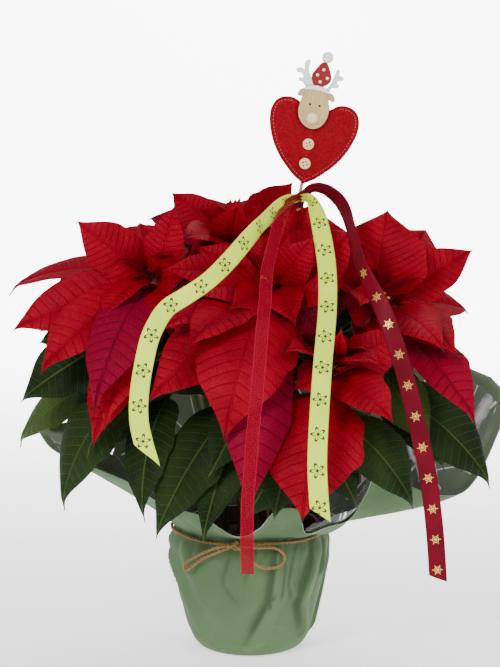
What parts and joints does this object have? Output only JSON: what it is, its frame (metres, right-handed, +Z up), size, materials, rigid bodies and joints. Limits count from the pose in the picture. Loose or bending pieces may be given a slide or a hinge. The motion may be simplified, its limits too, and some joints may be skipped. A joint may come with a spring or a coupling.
{
  "type": "potted poinsettia in gift wrap",
  "caption": "Poinsettia with red bracts in a paper-wrapped pot, tied with twine, with a felt heart on a stick and hanging ribbons.",
  "frame": {"origin": "centre of the wrap's flat underside, below the middle of the pot", "axes": "+Z up; -Y towards the front of the plant, which the heart and the ribbons face; +X to the right seen from the front"},
  "size_m": [0.476, 0.416, 0.551],
  "materials": {
    "wrap_green": "matte",
    "clear_film": "gloss",
    "twine_jute": "matte",
    "pot_brown": "satin",
    "soil_dark": "matte",
    "leaf_green": "satin",
    "bract_red": "satin",
    "flower_yellow": "satin",
    "wood_pale": "matte",
    "felt_red": "matte",
    "ribbon_wine": "satin",
    "ribbon_lime": "satin",
    "ribbon_sheer": "satin"
  },
  "bodies": {
    "root": {"wrap_paper": "wrap_green", "wrap_film": "clear_film", "twine_tie": "twine_jute", "pot": "pot_brown", "soil": "soil_dark", "stem_front": "leaf_green", "stem_middle": "leaf_green", "stem_left": "leaf_green", "stem_right": "leaf_green", "stem_top": "leaf_green", "stem_back_right": "leaf_green", "stem_back_left": "leaf_green", "bracts_front": "bract_red", "bracts_middle": "bract_red", "bracts_left": "bract_red", "bracts_right": "bract_red", "bracts_top": "bract_red", "bracts_back_right": "bract_red", "bracts_back_left": "bract_red", "flowers_front": "flower_yellow", "flowers_middle": "flower_yellow", "flowers_left": "flower_yellow", "flowers_right": "flower_yellow", "flowers_top": "flower_yellow", "flowers_back_right": "flower_yellow", "flowers_back_left": "flower_yellow", "pick_stick": "wood_pale", "heart": "felt_red", "reindeer": "wood_pale", "reindeer_nose": "wood_pale", "button_upper": "wood_pale", "button_lower": "wood_pale", "ribbon_knot": "ribbon_wine", "ribbon_sheer": "ribbon_sheer", "ribbon_lime": "ribbon_lime", "ribbon_satin": "ribbon_wine"}
  },
  "joints": []
}
